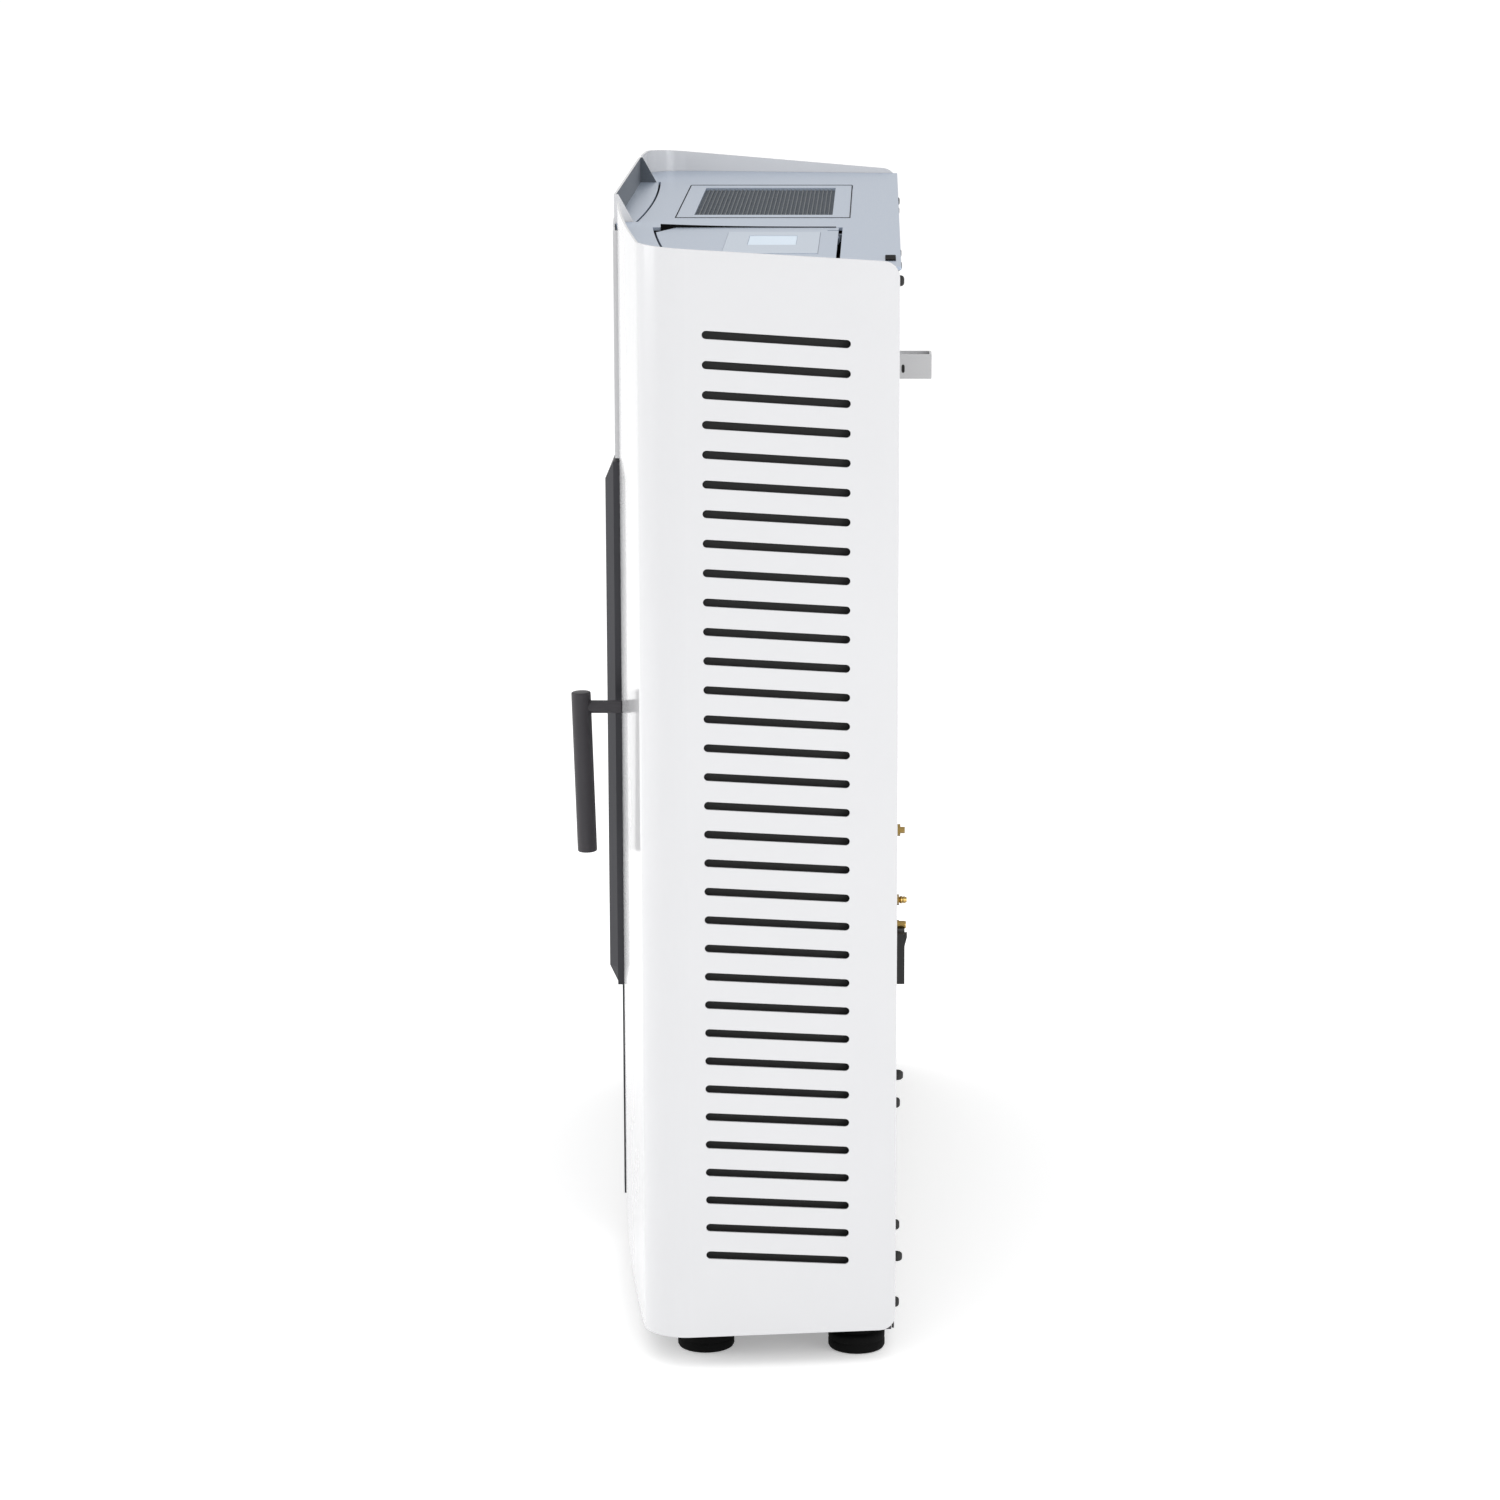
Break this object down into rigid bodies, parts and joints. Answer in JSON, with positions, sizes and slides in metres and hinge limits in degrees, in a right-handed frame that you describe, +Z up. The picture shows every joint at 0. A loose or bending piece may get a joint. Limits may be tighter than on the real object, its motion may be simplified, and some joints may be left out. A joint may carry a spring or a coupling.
{
  "type": "pellet stove",
  "caption": "Slim bow-fronted room heater that burns wood pellets: slotted side panels, glazed firebox door with bar handle, hopper lid with display, top grille, ash drawer and rear flue",
  "frame": {"origin": "centre of the box's underside, on the floor", "axes": "+Z up, the front with the door faces -Y, +X is to the right seen from the front (the hopper side)"},
  "size_m": [0.9744, 0.3316, 0.983],
  "materials": {
    "white_lacquer": "gloss",
    "plate_metal": "satin",
    "dark_paint": "satin",
    "black_steel": "matt",
    "handle_metal": "satin",
    "rubber": "matt",
    "galvanised": "satin",
    "cast_iron": "rough",
    "firebrick": "matt",
    "glass": "polished",
    "gasket": "matt",
    "mesh_wire": "satin",
    "display": "gloss",
    "screen": "gloss",
    "brass": "satin",
    "black_plastic": "matt",
    "motor": "satin",
    "board": "matt"
  },
  "bodies": {
    "casing": {"base_frame": "dark_paint", "foot_front_left": "rubber", "foot_front_right": "rubber", "foot_rear_left": "rubber", "foot_rear_right": "rubber", "rear_panel": "black_steel", "rear_screw_1": "black_steel", "rear_screw_2": "black_steel", "rear_screw_3": "black_steel", "rear_screw_4": "black_steel", "side_panel_left": "white_lacquer", "side_panel_right": "white_lacquer", "top_plate": "plate_metal", "grille_frame": "plate_metal", "grille_mesh": "mesh_wire", "flap_pin": "galvanised", "upper_front_panel": "white_lacquer", "door_hinge_upper": "black_steel", "door_hinge_lower": "black_steel", "drawer_runner_left": "galvanised", "drawer_runner_right": "galvanised", "firebox": "black_steel", "firebox_back": "firebrick", "baffle_plate": "firebrick", "burn_pot": "cast_iron", "igniter": "galvanised", "hopper": "galvanised", "auger_tube": "galvanised", "auger_motor": "motor", "pellet_chute": "black_steel", "lid_hinge_pin": "galvanised", "exhaust_fan_housing": "galvanised", "exhaust_motor": "motor", "flue_collar": "black_steel", "air_inlet_pipe": "galvanised", "room_fan_housing": "galvanised", "room_fan_motor": "motor", "control_board": "board", "mains_inlet": "black_plastic", "earth_stud": "brass", "pressure_tap": "brass", "thermostat_reset": "brass", "wall_bracket": "white_lacquer"},
    "door": {"door_frame": "dark_paint", "door_glass": "glass", "door_gasket": "gasket"},
    "handle": {"handle_bar": "handle_metal", "handle_spindle": "handle_metal", "latch_cam": "galvanised"},
    "lid": {"hopper_lid": "plate_metal", "display_bezel": "display", "display_screen": "screen"},
    "flap": {"air_flap": "plate_metal"},
    "ash_drawer": {"ash_drawer_front": "dark_paint", "ash_drawer_box": "galvanised"},
    "auger": {"auger_screw": "galvanised"},
    "room_fan": {"room_fan_rotor": "galvanised"},
    "exhaust_fan": {"exhaust_impeller": "galvanised"},
    "rocker": {"mains_switch": "black_plastic"}
  },
  "joints": [
    {"name": "door_hinge", "type": "hinge", "parent": "casing", "child": "door", "pos_m": [-0.38387, -0.12319, 0.494], "axis": [0, 0, -1], "range_deg": [0, 110]},
    {"name": "handle_turn", "type": "hinge", "parent": "casing", "child": "handle", "pos_m": [0.15363, -0.15643, 0.52], "axis": [0, -1, 0], "range_deg": [0, 90]},
    {"name": "lid_hinge", "type": "hinge", "parent": "casing", "child": "lid", "pos_m": [0.29313, 0.07681, 0.953], "axis": [-1, 0, 0], "range_deg": [0, 80]},
    {"name": "flap_tilt", "type": "hinge", "parent": "casing", "child": "flap", "pos_m": [-0.13836, -0.12119, 0.9525], "axis": [-1, 0, 0], "range_deg": [0, 35]},
    {"name": "ash_drawer_slide", "type": "slide", "parent": "casing", "child": "ash_drawer", "axis": [0, -1, 0], "range_m": [0, 0.14]},
    {"name": "auger_spin", "type": "hinge", "parent": "casing", "child": "auger", "pos_m": [0.24263, -0.00119, 0.494], "axis": [1, 0, 0], "continuous": true},
    {"name": "room_fan_spin", "type": "hinge", "parent": "casing", "child": "room_fan", "pos_m": [-0.14336, 0.08381, 0.088], "axis": [1, 0, 0], "continuous": true},
    {"name": "exhaust_fan_spin", "type": "hinge", "parent": "casing", "child": "exhaust_fan", "pos_m": [0.25263, 0.04381, 0.186], "axis": [0, 1, 0], "continuous": true},
    {"name": "mains_rocker", "type": "hinge", "parent": "casing", "child": "rocker", "pos_m": [0.30263, 0.13831, 0.336], "axis": [1, 0, 0], "range_deg": [0, 12]}
  ]
}
